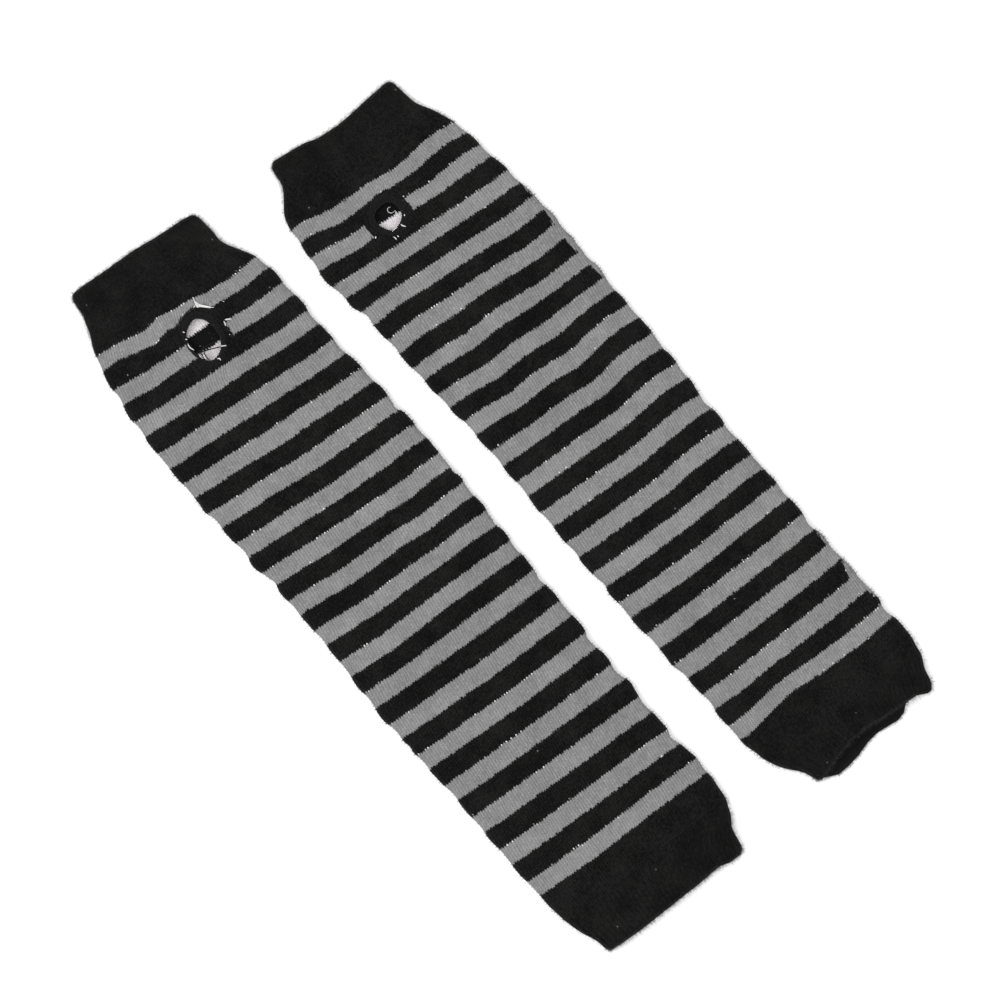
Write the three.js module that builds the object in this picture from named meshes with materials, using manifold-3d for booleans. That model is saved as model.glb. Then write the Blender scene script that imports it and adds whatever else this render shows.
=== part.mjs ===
// A pair of knitted arm warmers: two circular-knitted tubes with plain cuffs and a bound thumb hole,
// lying flat side by side. Millimetres, +Z up. The resting surface is z = 0, +Y points to the hand
// ends, +X from the left warmer to the right one, and the origin is under the middle of the pair.
import * as THREE from "three";
import { mergeVertices } from "three/addons/utils/BufferGeometryUtils.js";
import Module from "manifold-3d";

// The fabric: one layer of plated knit, and the air left between the two layers of a flat tube.
const WALL = 1.5;
const SEAM_GAP = 0.3; // clearance where two pieces of one warmer meet

// The sections of a tube: how many straight steps each stretch of the loop is made of.
const LOWER_STEPS = 4;
const FOLD_STEPS = 4;
const UPPER_STEPS = 9;
const BODY_STEP = 12; // spacing of the sections along the body
const CUFF_STEP = 7; // and along a cuff
const FOLD_EASE = 12; // a wave in the upper layer fades out over this distance from a side fold

// The thumb hole's binding: an oval ring of bound edge, rounded in section.
const BINDING_WIDTH = 2.9;
const BINDING_HEIGHT = 2.3;
const BINDING_SIDES = 8;
const OVAL_STEPS = 28;

// One row for each section. "along" is where the course crosses the warmer's own axis, "left" and
// "right" are the side folds, "tilt" is how far the course runs towards the arm end for each
// millimetre across, "height" is the outside height of the two layers, and "under" is how far the
// lower layer reaches past the upper one.
const LEFT_SECTIONS = [
  { along: 171.0, left: -27.7, right: 31.7, tilt: 0.12, height: 4.2, under: 0 },
  { along: 164.0, left: -28.4, right: 32.3, tilt: 0.13, height: 4.4, under: 0 },
  { along: 156.0, left: -29.9, right: 31.4, tilt: 0.14, height: 4.3, under: 0 },
  { along: 150.0, left: -32.4, right: 34.9, tilt: 0.15, height: 4.2, under: 0 },
  { along: 143.5, left: -35.6, right: 39.6, tilt: 0.15, height: 4.0, under: 0 },
  { along: 136.0, left: -38.0, right: 40.5, tilt: 0.14, height: 4.3, under: 0 },
  { along: 124.0, left: -39.9, right: 40.7, tilt: 0.14, height: 4.4, under: 0 },
  { along: 106.0, left: -41.9, right: 40.5, tilt: 0.13, height: 4.4, under: 0 },
  { along: 80.0, left: -42.9, right: 42.2, tilt: 0.14, height: 4.5, under: 0 },
  { along: 50.0, left: -42.0, right: 43.5, tilt: 0.12, height: 4.4, under: 0 },
  { along: 20.0, left: -41.1, right: 43.4, tilt: 0.11, height: 4.5, under: 0 },
  { along: -10.0, left: -41.3, right: 42.0, tilt: 0.08, height: 4.4, under: 0 },
  { along: -40.0, left: -43.2, right: 41.6, tilt: 0.08, height: 4.5, under: 0 },
  { along: -80.0, left: -41.8, right: 40.4, tilt: 0.08, height: 4.4, under: 0 },
  { along: -115.0, left: -42.2, right: 40.3, tilt: 0.08, height: 4.4, under: 0 },
  { along: -130.0, left: -42.2, right: 41.4, tilt: 0.07, height: 4.4, under: 0 },
  { along: -138.0, left: -41.4, right: 40.9, tilt: 0.07, height: 4.4, under: 0 },
  { along: -147.0, left: -40.6, right: 40.1, tilt: 0.07, height: 4.0, under: 0 },
  { along: -154.0, left: -39.0, right: 37.6, tilt: 0.06, height: 4.4, under: 0.2 },
  { along: -161.0, left: -36.6, right: 33.0, tilt: 0.06, height: 4.4, under: 0.4 },
  { along: -167.5, left: -35.2, right: 32.1, tilt: 0.06, height: 4.2, under: 0.6 },
];
const RIGHT_SECTIONS = [
  { along: 162.0, left: -28.7, right: 30.3, tilt: 0.12, height: 4.2, under: 0 },
  { along: 156.0, left: -29.2, right: 31.1, tilt: 0.13, height: 4.4, under: 0 },
  { along: 150.5, left: -31.4, right: 31.4, tilt: 0.13, height: 4.3, under: 0 },
  { along: 145.0, left: -36.2, right: 35.3, tilt: 0.14, height: 4.2, under: 0 },
  { along: 136.0, left: -40.0, right: 38.4, tilt: 0.14, height: 4.0, under: 0 },
  { along: 128.0, left: -40.2, right: 39.5, tilt: 0.14, height: 4.3, under: 0 },
  { along: 112.0, left: -42.3, right: 41.3, tilt: 0.14, height: 4.4, under: 0 },
  { along: 88.0, left: -39.8, right: 43.3, tilt: 0.14, height: 4.5, under: 0 },
  { along: 58.0, left: -39.6, right: 42.6, tilt: 0.12, height: 4.5, under: 0 },
  { along: 30.0, left: -38.4, right: 42.0, tilt: 0.1, height: 4.5, under: 0 },
  { along: 5.0, left: -38.8, right: 40.9, tilt: 0.08, height: 4.5, under: 0 },
  { along: -30.0, left: -40.2, right: 38.8, tilt: 0.07, height: 4.4, under: 0 },
  { along: -65.0, left: -40.8, right: 38.6, tilt: 0.07, height: 4.4, under: 0 },
  { along: -105.0, left: -39.7, right: 38.5, tilt: 0.06, height: 4.4, under: 0 },
  { along: -134.0, left: -40.5, right: 38.5, tilt: 0.06, height: 4.4, under: 0 },
  { along: -143.0, left: -38.3, right: 38.0, tilt: 0.06, height: 4.2, under: 0.5 },
  { along: -150.0, left: -36.7, right: 37.0, tilt: 0.05, height: 4.4, under: 1.5 },
  { along: -157.0, left: -30.0, right: 33.6, tilt: 0.03, height: 4.6, under: 2.5 },
  { along: -163.5, left: -28.0, right: 32.1, tilt: 0.0, height: 4.6, under: 3.5 },
];

// Soft waves of the upper layer: centre, half-lengths across and along, and how far it rises.
const LEFT_WAVES = [
  { x: 16, y: 92, across: 16, along: 26, rise: 0.5 },
  { x: -18, y: 58, across: 15, along: 30, rise: 0.4 },
  { x: 12, y: 20, across: 16, along: 20, rise: -0.3 },
  { x: -10, y: -58, across: 20, along: 26, rise: 0.5 },
  { x: 26, y: -104, across: 14, along: 22, rise: -0.3 },
  { x: 30, y: 36, across: 8, along: 30, rise: 0.3 },
  { x: 2, y: -163, across: 18, along: 10, rise: 0.5 },
  { x: -6, y: 164, across: 18, along: 7, rise: 0.5 },
];
const RIGHT_WAVES = [
  { x: 18, y: 84, across: 14, along: 20, rise: 0.6 },
  { x: -1, y: 52, across: 8, along: 26, rise: 0.5 },
  { x: -24, y: 20, across: 9, along: 30, rise: 0.4 },
  { x: -16, y: -48, across: 16, along: 30, rise: 0.5 },
  { x: 12, y: -92, across: 18, along: 28, rise: 0.4 },
  { x: 4, y: -160, across: 17, along: 11, rise: 2.0 },
  { x: 8, y: 154, across: 14, along: 7, rise: 0.5 },
  { x: -20, y: 159, across: 8, along: 7, rise: 0.4 },
];

// Each warmer: its place and turn on the surface, the seams between its body and its cuffs, and its
// thumb hole (the outside of the binding).
const WARMERS = [
  {
    side: "left",
    place: { x: -48.8, y: -0.77, turn: -0.45 },
    sections: LEFT_SECTIONS,
    waves: LEFT_WAVES,
    handSeam: 143.5,
    armSeam: -147.0,
    thumb: { x: 1.6, y: 126.2, width: 17.7, length: 23.0 },
  },
  {
    side: "right",
    place: { x: 49.3, y: -6.67, turn: 0.45 },
    sections: RIGHT_SECTIONS,
    waves: RIGHT_WAVES,
    handSeam: 136.0,
    armSeam: -143.0,
    thumb: { x: -6.4, y: 120.6, width: 16.2, length: 16.2 },
  },
];

const BODY_YARN = { color: 0x8f8f8d, roughness: 0.95, metalness: 0 };
const CUFF_YARN = { color: 0x1d1d1b, roughness: 0.95, metalness: 0 };
const BINDING_YARN = { color: 0x171716, roughness: 0.9, metalness: 0 };

const wasm = await Module();
wasm.setup();

// The section where the course crosses the axis at "along", between the rows on either side.
function sectionAt(sections, along) {
  const last = sections.length - 1;
  let i = 0;
  while (i < last - 1 && sections[i + 1].along > along) i += 1;
  const here = sections[i];
  const next = sections[i + 1];
  const part = THREE.MathUtils.clamp((here.along - along) / (here.along - next.along), 0, 1);
  const section = { along };
  for (const column of ["left", "right", "tilt", "height", "under"]) {
    section[column] = THREE.MathUtils.lerp(here[column], next[column], part);
  }
  return section;
}

// How far the soft waves lift the upper layer at a place on the warmer.
function waveRise(waves, x, y) {
  let rise = 0;
  for (const wave of waves) {
    const u = (x - wave.x) / wave.across;
    const v = (y - wave.y) / wave.along;
    rise += wave.rise * Math.exp(-(u * u + v * v));
  }
  return rise;
}

// The height of the upper layer's outside face at (x, y), for a section.
function upperFace(warmer, section, x, y) {
  const clear = Math.min(x - section.left, section.right - x) - section.height / 2;
  const ease = THREE.MathUtils.smoothstep(clear, 0, FOLD_EASE);
  return section.height + ease * waveRise(warmer.waves, x, y);
}

// One loop round the tube, "inset" inside its outer face: the lower layer from left to right, the
// right fold, the upper layer back to the left, and the left fold.
function sectionLoop(warmer, section, inset) {
  const fold = section.height / 2;
  const radius = fold - inset;
  const leftCentre = section.left + fold;
  const rightCentre = section.right - fold;
  const loop = [];
  const add = (x, z, layer) => {
    const y = section.along - section.tilt * x - section.under * (1 - layer);
    const lift = layer === 1 ? upperFace(warmer, section, x, y) - section.height : 0;
    loop.push(new THREE.Vector3(x, y, z + lift));
  };
  for (let i = 0; i < LOWER_STEPS; i += 1) {
    add(THREE.MathUtils.lerp(leftCentre, rightCentre, i / LOWER_STEPS), inset, 0);
  }
  for (let i = 0; i < FOLD_STEPS; i += 1) {
    const angle = Math.PI * (i / FOLD_STEPS - 0.5);
    const layer = (1 + Math.sin(angle)) / 2;
    add(rightCentre + radius * Math.cos(angle), fold + radius * Math.sin(angle), layer);
  }
  for (let i = 0; i < UPPER_STEPS; i += 1) {
    add(THREE.MathUtils.lerp(rightCentre, leftCentre, i / UPPER_STEPS), section.height - inset, 1);
  }
  for (let i = 0; i < FOLD_STEPS; i += 1) {
    const angle = Math.PI * (0.5 + i / FOLD_STEPS);
    const layer = (1 + Math.sin(angle)) / 2;
    add(leftCentre + radius * Math.cos(angle), fold + radius * Math.sin(angle), layer);
  }
  return loop;
}

// A closed mesh from a ring of loops that all have the same number of points: each loop joins the
// next one, and the last joins the first.
function ringOfLoops(loops) {
  const count = loops[0].length;
  const positions = loops.flat().flatMap((point) => [point.x, point.y, point.z]);
  const index = [];
  loops.forEach((loop, row) => {
    const next = (row + 1) % loops.length;
    for (let i = 0; i < count; i += 1) {
      const j = (i + 1) % count;
      const a = row * count + i;
      const b = row * count + j;
      const c = next * count + j;
      const d = next * count + i;
      index.push(a, b, c, a, c, d);
    }
  });
  const geometry = new THREE.BufferGeometry();
  geometry.setAttribute("position", new THREE.Float32BufferAttribute(positions, 3));
  geometry.setIndex(index);
  return geometry;
}

// A stretch of the flattened tube between two courses, open at both ends: its outer loops run from
// the hand side to the arm side and its inner loops come back.
function tubeGeometry(warmer, from, to, step) {
  const steps = Math.max(1, Math.round((from - to) / step));
  const sections = [];
  for (let i = 0; i <= steps; i += 1) {
    sections.push(sectionAt(warmer.sections, THREE.MathUtils.lerp(from, to, i / steps)));
  }
  const outer = sections.map((section) => sectionLoop(warmer, section, 0));
  const inner = sections.map((section) => sectionLoop(warmer, section, WALL)).reverse();
  return ringOfLoops([...outer, ...inner]);
}

// A point on an oval round the thumb hole, at the given angle.
function ovalPoint(thumb, width, length, angle) {
  const x = thumb.x + (width / 2) * Math.cos(angle);
  const y = thumb.y + (length / 2) * Math.sin(angle);
  return new THREE.Vector2(x, y);
}

// The upper layer's outside height over a point of the thumb hole.
function heightOver(warmer, point) {
  const guess = sectionAt(warmer.sections, point.y);
  const section = sectionAt(warmer.sections, point.y + guess.tilt * point.x);
  return upperFace(warmer, section, point.x, point.y);
}

// The bound edge of the thumb hole: a rounded section swept round the oval, riding on the upper layer.
function bindingGeometry(warmer) {
  const { thumb } = warmer;
  const loops = [];
  for (let i = 0; i < OVAL_STEPS; i += 1) {
    const angle = (2 * Math.PI * i) / OVAL_STEPS;
    const edge = ovalPoint(thumb, thumb.width, thumb.length, angle);
    const middle = heightOver(warmer, edge) - WALL / 2;
    const loop = [];
    for (let k = 0; k < BINDING_SIDES; k += 1) {
      const turn = (2 * Math.PI * k) / BINDING_SIDES;
      const inwards = BINDING_WIDTH * (1 - Math.cos(turn));
      const point = ovalPoint(thumb, thumb.width - inwards, thumb.length - inwards, angle);
      loop.push(new THREE.Vector3(point.x, point.y, middle + (BINDING_HEIGHT / 2) * Math.sin(turn)));
    }
    loops.push(loop.reverse());
  }
  return ringOfLoops(loops);
}

// The oval prism that opens the thumb hole through the upper layer only.
function thumbCutter(warmer) {
  const { thumb } = warmer;
  const shape = new THREE.Shape();
  const halfWidth = thumb.width / 2 + SEAM_GAP;
  const halfLength = thumb.length / 2 + SEAM_GAP;
  shape.absellipse(thumb.x, thumb.y, halfWidth, halfLength, 0, 2 * Math.PI);
  const section = sectionAt(warmer.sections, thumb.y);
  const cutter = new THREE.ExtrudeGeometry(shape, {
    depth: section.height,
    bevelEnabled: false,
    curveSegments: OVAL_STEPS,
  });
  cutter.translate(0, 0, section.height / 2);
  return cutter;
}

function toSolid(geometry) {
  const bare = geometry.clone();
  bare.deleteAttribute("normal");
  bare.deleteAttribute("uv");
  const merged = mergeVertices(bare, 1e-4);
  const mesh = new wasm.Mesh({
    numProp: 3,
    vertProperties: merged.attributes.position.array,
    triVerts: new Uint32Array(merged.index.array),
  });
  return new wasm.Manifold(mesh);
}

function toGeometry(solid) {
  const mesh = solid.getMesh();
  const geometry = new THREE.BufferGeometry();
  geometry.setAttribute("position", new THREE.BufferAttribute(mesh.vertProperties, 3));
  geometry.setIndex(new THREE.BufferAttribute(mesh.triVerts, 1));
  return geometry;
}

function piece(name, geometry, yarn) {
  const mesh = new THREE.Mesh(geometry, new THREE.MeshStandardMaterial(yarn));
  mesh.geometry.computeVertexNormals();
  mesh.name = name;
  return mesh;
}

function makeWarmer(warmer) {
  const { side, sections, handSeam, armSeam, place } = warmer;
  const half = SEAM_GAP / 2;
  const handEnd = sections[0].along;
  const armEnd = sections[sections.length - 1].along;
  const handCuff = tubeGeometry(warmer, handEnd, handSeam + half, CUFF_STEP);
  const tube = tubeGeometry(warmer, handSeam - half, armSeam + half, BODY_STEP);
  const armCuff = tubeGeometry(warmer, armSeam - half, armEnd, CUFF_STEP);
  const body = toGeometry(toSolid(tube).subtract(toSolid(thumbCutter(warmer))));

  const group = new THREE.Group();
  group.add(piece(`${side}_hand_cuff`, handCuff, CUFF_YARN));
  group.add(piece(`${side}_body`, body, BODY_YARN));
  group.add(piece(`${side}_arm_cuff`, armCuff, CUFF_YARN));
  group.add(piece(`${side}_thumb_binding`, bindingGeometry(warmer), BINDING_YARN));
  group.position.set(place.x, place.y, 0);
  group.rotation.z = THREE.MathUtils.degToRad(place.turn);
  return group;
}

const pair = new THREE.Group();
for (const warmer of WARMERS) {
  pair.add(makeWarmer(warmer));
}

export default pair;
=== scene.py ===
import math
from collections import namedtuple

import bpy
import numpy as np
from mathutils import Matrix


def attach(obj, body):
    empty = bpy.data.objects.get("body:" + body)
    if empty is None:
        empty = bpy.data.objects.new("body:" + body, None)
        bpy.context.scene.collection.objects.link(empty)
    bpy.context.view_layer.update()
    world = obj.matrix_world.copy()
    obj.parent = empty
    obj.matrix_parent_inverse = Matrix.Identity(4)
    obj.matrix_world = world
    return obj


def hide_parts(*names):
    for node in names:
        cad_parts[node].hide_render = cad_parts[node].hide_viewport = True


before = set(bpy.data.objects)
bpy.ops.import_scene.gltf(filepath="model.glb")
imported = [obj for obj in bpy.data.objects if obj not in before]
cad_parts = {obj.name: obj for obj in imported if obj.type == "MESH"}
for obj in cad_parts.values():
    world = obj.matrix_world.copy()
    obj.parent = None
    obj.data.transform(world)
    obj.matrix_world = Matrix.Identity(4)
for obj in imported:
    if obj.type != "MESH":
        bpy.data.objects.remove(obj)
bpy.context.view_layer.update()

# A pair of striped knitted arm warmers lying flat. The tables below are in millimetres, in each
# warmer's own frame (+Y to the hand end, z = 0 on the surface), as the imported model's are.
MM = 0.001
FULL_TURN = 2 * math.pi
FAR = 999.0  # mm, farther apart than any two places on a warmer

# ---------------------------------------------------------------- the knit
WALES = 144  # stitches round a tube
WALE_COLUMNS = 3  # mesh columns to a wale: a groove and the two legs of the stitches
COLUMNS = WALES * WALE_COLUMNS
COURSE = 0.95  # height of one row of stitches
LEAN = 0.128  # wales that the knit spirals round the tube for each millimetre along it
WALE_WANDER = 0.28  # how far a wale strays sideways from its line
ROW = 1.5  # spacing of the mesh rows along a body, and along a cuff
CUFF_ROW = 0.9
WALL = 1.5
INNER_COLUMNS = 4  # outer mesh columns, and rows, to one on the inside face
INNER_ROWS = 2
GROOVE = 0.17  # mean depth of the groove between two wales
RIB_GROOVE = 0.45  # and between two ribs of the arm cuff
RIB_WALES = 2
FOLD_EASE = 12.0  # a wave in a layer fades out over this distance from a side fold
STRIPE_PUFF = 0.14  # black stripes stand up and grey ones lie low by this much
STRIPE_SCALLOP = 0.34  # and at the side folds they stick out and pull in by this much
EDGE_BEND = 0.55  # courses bend back towards the hand end at the side folds by this much
MOUTH_REACH = 14.0  # the courses take up the shape of an uneven mouth over this length
BELOW_REACH = 60.0  # the lower layer's courses lie apart this far along from a thumb hole
WANDERS = ((0.6, 53, 87), (0.4, 23, -54))  # share of the straying, length along and round
GROOVE_LENGTHS = (14.0, 40.0)  # a groove's depth comes and goes over a length in this range
WOBBLE = 0.07  # each of these lengths makes the side folds uneven by this much
WOBBLE_LENGTHS = (9.0, 13.0, 19.0, 27.0, 41.0, 60.0)
COLOUR_EASE = 1.6  # the relief turns from grey's to black's over about this depth
RIB_START = 4.0  # the ribs reach their full depth this far from the arm seam
RIM_INSETS = (0.5, 0.14, 0.0)  # how far the first mesh rows of a mouth turn in
RIM_ROUND = 0.45  # and how far the inside face turns out there
TABLE_END = 190.0  # the section tables are read out to this far along
TABLE_BLUR = 15  # and smoothed over this many millimetres
FLAT = 0.999  # "up" and "layer" pass this on the straight part of the upper layer
SHARP_ANGLE = 84  # degrees between faces, past which an edge is drawn sharp

# Where the faces and the rims lie on the bake map.
OUTER_BAKE = ((0.0, 0.0), (0.74, 0.94))
INNER_BAKE = ((0.76, 0.0), (1.0, 0.94))
RIM_LEVELS = (0.943, 0.953, 0.963, 0.972, 0.981, 0.990)
RIM_HEIGHT = 0.008


def table(kind, *rows):
    """A table's rows as records of one kind."""
    return [kind(*row) for row in rows]


Section = namedtuple("Section", "along left right tilt height")
LEFT_SECTIONS = table(
    Section,
    (171.0, -27.7, 31.7, 0.12, 4.2),
    (164.0, -28.4, 32.3, 0.13, 4.4),
    (156.0, -29.9, 31.4, 0.14, 4.3),
    (150.0, -32.4, 35.4, 0.15, 4.2),
    (143.5, -35.6, 39.6, 0.15, 4.0),
    (136.0, -38.0, 40.5, 0.14, 4.3),
    (124.0, -39.9, 40.7, 0.14, 4.4),
    (106.0, -41.9, 40.5, 0.13, 4.4),
    (80.0, -42.9, 42.2, 0.14, 4.5),
    (50.0, -42.0, 43.5, 0.12, 4.4),
    (20.0, -41.1, 43.4, 0.11, 4.5),
    (-10.0, -41.3, 42.0, 0.08, 4.4),
    (-40.0, -43.2, 41.6, 0.08, 4.5),
    (-80.0, -41.8, 40.4, 0.08, 4.4),
    (-115.0, -42.2, 40.3, 0.08, 4.4),
    (-130.0, -42.2, 41.4, 0.07, 4.4),
    (-138.0, -41.4, 40.9, 0.07, 4.4),
    (-147.0, -40.6, 40.1, 0.07, 4.0),
    (-154.0, -39.0, 37.6, 0.06, 4.4),
    (-161.0, -36.6, 33.0, 0.06, 4.4),
    (-167.5, -35.2, 32.1, 0.06, 4.2),
)
RIGHT_SECTIONS = table(
    Section,
    (162.0, -28.7, 30.3, 0.12, 4.2),
    (156.0, -29.2, 31.1, 0.13, 4.4),
    (150.5, -31.4, 31.4, 0.13, 4.3),
    (145.0, -36.2, 35.3, 0.14, 4.2),
    (136.0, -40.0, 38.4, 0.14, 4.0),
    (128.0, -40.2, 39.5, 0.14, 4.3),
    (112.0, -42.3, 41.3, 0.14, 4.4),
    (88.0, -39.8, 43.3, 0.14, 4.5),
    (58.0, -39.6, 42.6, 0.12, 4.5),
    (30.0, -38.4, 42.0, 0.10, 4.5),
    (5.0, -38.8, 40.9, 0.08, 4.5),
    (-30.0, -40.2, 38.8, 0.07, 4.4),
    (-65.0, -40.8, 38.6, 0.07, 4.4),
    (-105.0, -39.7, 38.5, 0.06, 4.4),
    (-134.0, -40.5, 38.5, 0.06, 4.4),
    (-143.0, -38.3, 38.0, 0.06, 4.2),
    (-150.0, -36.7, 37.0, 0.05, 4.4),
    (-157.0, -30.0, 33.6, 0.03, 4.6),
    (-163.5, -28.0, 32.1, 0.00, 4.6),
)

# The grey stripes: where each one's middle course crosses the axis, and its width.
Stripe = namedtuple("Stripe", "middle width")
LEFT_STRIPES = table(
    Stripe,
    (139.6, 6.4), (124.8, 6.8), (109.4, 7.1), (93.6, 7.4), (77.8, 7.3), (62.2, 7.4), (46.5, 7.2),
    (31.0, 7.2), (15.8, 7.0), (0.6, 7.1), (-14.8, 7.2), (-30.7, 7.5), (-47.0, 7.5), (-63.3, 7.4),
    (-79.8, 7.7), (-96.6, 7.8), (-113.6, 7.6), (-130.2, 7.3),
)
RIGHT_STRIPES = table(
    Stripe,
    (132.4, 6.2), (119.3, 6.2), (104.6, 6.7), (90.2, 6.8), (75.6, 7.0), (60.5, 6.7), (45.6, 7.0),
    (30.8, 7.1), (15.1, 7.3), (-0.4, 7.2), (-16.1, 7.4), (-32.0, 7.5), (-48.0, 7.4), (-63.8, 7.6),
    (-80.2, 7.6), (-96.5, 7.6), (-112.8, 7.7), (-128.0, 6.6),
)

# Soft waves of the upper layer: centre, half-lengths across and along, and how far it rises.
Wave = namedtuple("Wave", "x y across along rise")
LEFT_WAVES = table(
    Wave,
    (16, 92, 16, 26, 0.5), (-18, 58, 15, 30, 0.4), (12, 20, 16, 20, -0.3), (-10, -58, 20, 26, 0.5),
    (26, -104, 14, 22, -0.3), (30, 36, 8, 30, 0.3), (2, -163, 18, 10, 0.5), (-6, 164, 18, 7, 0.5),
)
RIGHT_WAVES = table(
    Wave,
    (18, 84, 14, 20, 0.6), (-1, 52, 8, 26, 0.5), (-24, 20, 9, 30, 0.4), (-16, -48, 16, 30, 0.5),
    (12, -92, 18, 28, 0.4), (4, -160, 17, 11, 2.0), (8, 154, 14, 7, 0.5), (-20, 159, 8, 7, 0.4),
)
# The lower layer, lying on the surface, is pushed up into the same kind of soft waves.
LEFT_LOWER_WAVES = table(
    Wave,
    (14, 112, 14, 22, 0.4), (-18, 66, 12, 26, 0.5), (20, 18, 11, 28, 0.4), (-12, -34, 16, 20, 0.5),
    (16, -88, 13, 24, 0.4), (-16, -132, 15, 14, 0.3),
)
RIGHT_LOWER_WAVES = table(
    Wave,
    (-14, 104, 13, 20, 0.5), (20, 62, 11, 24, 0.4), (-8, 12, 14, 26, 0.5), (18, -40, 12, 22, 0.4),
    (-20, -84, 12, 24, 0.4), (10, -128, 16, 16, 0.4),
)

# Creases of the upper layer: narrow soft troughs along a line of points.
Crease = namedtuple("Crease", "width depth points")
LEFT_CREASES = table(
    Crease,
    (1.3, 0.75, [(18.5, 116), (19.5, 104), (20.5, 90)]),
    (2.2, 0.6, [(-24, 153.5), (-8, 152.5), (20, 147.5)]),
    (4.0, 0.5, [(3, 18), (-1, 2), (-6, -18), (-8, -32)]),
    (2.0, 0.7, [(18, -4), (23, 0), (28, 3)]),
    (2.6, 0.35, [(28, 58), (29, 36), (30, 14)]),
    (3.5, 0.4, [(24, -36), (22, -58), (18, -80)]),
    (3.2, 0.35, [(-39, -144.5), (0, -147.5), (33, -150)]),
)
RIGHT_CREASES = table(
    Crease,
    (1.9, 0.75, [(-10, 68), (-11, 52), (-12, 38)]),
    (2.4, 0.5, [(-14, 30), (-15, 14), (-14, 0)]),
    (2.0, 0.8, [(12, 34), (9, 22), (8, 6), (9, -14), (13, -34), (9, -46)]),
    (4.0, 0.4, [(22, 31), (20, 8), (18, -12)]),
    (1.4, 0.8, [(30.5, -92), (32, -104), (31.5, -118)]),
    (2.0, 0.35, [(-26, 148), (0, 144), (24, 140)]),
    (3.0, 0.4, [(-24, -150), (-4, -147), (20, -149)]),
)

# Places where the courses of the upper layer are pulled towards the arm end, by "shift".
Pull = namedtuple("Pull", "x y across along shift")
LEFT_PULLS = table(
    Pull,
    (2, 56, 12, 26, 0.8), (-15, 10, 11, 18, 0.8), (22, 18, 8, 18, 0.9), (4, -54, 14, 24, 0.6),
    (-12, -130, 9, 9, 0.5), (12, 100, 10, 14, -0.3), (25, 134, 10, 14, 1.3), (26, 104, 12, 14, 0.5),
    (-15, 142, 4, 6, 1.3), (-6, 142, 4, 6, -1.2), (16, 141, 4, 6, 0.9), (-31, 142, 7, 6, -1.3),
    (-27, 127, 9, 8, 0.7), (-38, 94, 6, 10, 0.7), (12, 78, 8, 7, -0.5), (34, 46, 8, 26, -0.4),
    (-35, 16, 10, 20, -0.4), (28, 0, 6, 8, -0.7), (-22, -18, 14, 9, 0.7), (10, -22, 8, 10, -0.4),
    (40, -15, 6, 10, 0.8), (14, -100, 10, 8, 0.3), (18, -131, 9, 6, -0.3), (41, -110, 6, 22, 1.0),
)
RIGHT_PULLS = table(
    Pull,
    (11, 28, 7, 28, 1.2), (-17, 44, 7, 24, 0.9), (2, -26, 13, 34, 0.7), (-12, -129, 10, 9, -1.6),
    (-37, -128, 8, 8, 1.5), (22, -130, 10, 6, 0.6), (8, 134, 8, 7, 1.2), (28, 130, 9, 9, -1.6),
    (-19, 134, 11, 6, 1.4), (-34, 137, 6, 6, -1.5), (-24, 121, 9, 7, 1.1), (14, 119, 6, 7, 0.8),
    (33, 119, 7, 7, -0.7), (-22, 91, 8, 8, -0.6), (-39, 82, 6, 20, 1.4), (-14, 68, 5, 12, 0.5),
    (2, 66, 5, 12, -0.5), (22, 60, 5, 8, 0.5), (28, 78, 10, 20, 0.8), (-32, 38, 7, 12, -0.4),
    (27, 10, 9, 26, -0.9), (33, 30, 7, 12, -0.6), (-38, -36, 6, 32, -0.3), (17, -36, 8, 14, -0.5),
    (41, -36, 5, 36, 1.3), (-7, -64, 13, 8, 0.7), (-26, -113, 7, 6, 0.6),
)

# Nips in the side folds: which side, where along it, half-length and how far the fold pulls in.
Nip = namedtuple("Nip", "side along reach depth")
LEFT_NIPS = table(
    Nip,
    (1, 60.5, 1.8, 1.6), (1, 25.5, 1.8, 1.3), (1, -3.0, 1.8, 0.8), (1, -31.5, 1.8, 1.3),
    (1, -62.5, 1.8, 1.2), (1, -113.6, 1.8, 0.9), (1, 118.0, 4.0, -0.4), (1, -36.0, 1.8, 0.5),
    (1, -66.5, 2.0, 0.6), (1, -86.0, 3.0, -0.9), (1, -128.0, 4.0, -0.6), (1, -157.5, 2.0, 0.5),
    (-1, 116.0, 3.0, -0.5), (-1, 67.5, 2.5, -0.5), (-1, 38.0, 4.0, -0.8), (-1, 28.5, 1.8, 1.3),
    (-1, -55.0, 1.8, 0.6),
)
RIGHT_NIPS = table(
    Nip,
    (1, 67.0, 2.0, 0.7), (1, 11.0, 1.8, 0.8), (1, -16.0, 1.8, 0.9), (1, 42.0, 5.0, 0.4),
    (1, -10.0, 3.0, 0.5), (1, -48.0, 3.0, -0.5), (1, -82.0, 2.8, 1.6), (1, -127.0, 2.6, 1.2),
    (-1, 111.0, 3.0, -0.4), (-1, 97.0, 2.0, -0.5), (-1, 91.0, 2.2, 0.9), (-1, -94.0, 3.5, -0.9),
    (-1, 35.0, 1.8, 0.6), (-1, -50.5, 2.2, 0.8),
)

# Stretches of the right-hand side fold where the lower layer's grey shows outside the upper
# layer's black stripes: where, half-length and how wide at the middle.
Peek = namedtuple("Peek", "y reach width")
LEFT_PEEKS = []
RIGHT_PEEKS = table(
    Peek,
    (66, 20, 2.4), (-112, 7, 3.7), (-94, 7, 1.3),
)

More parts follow.
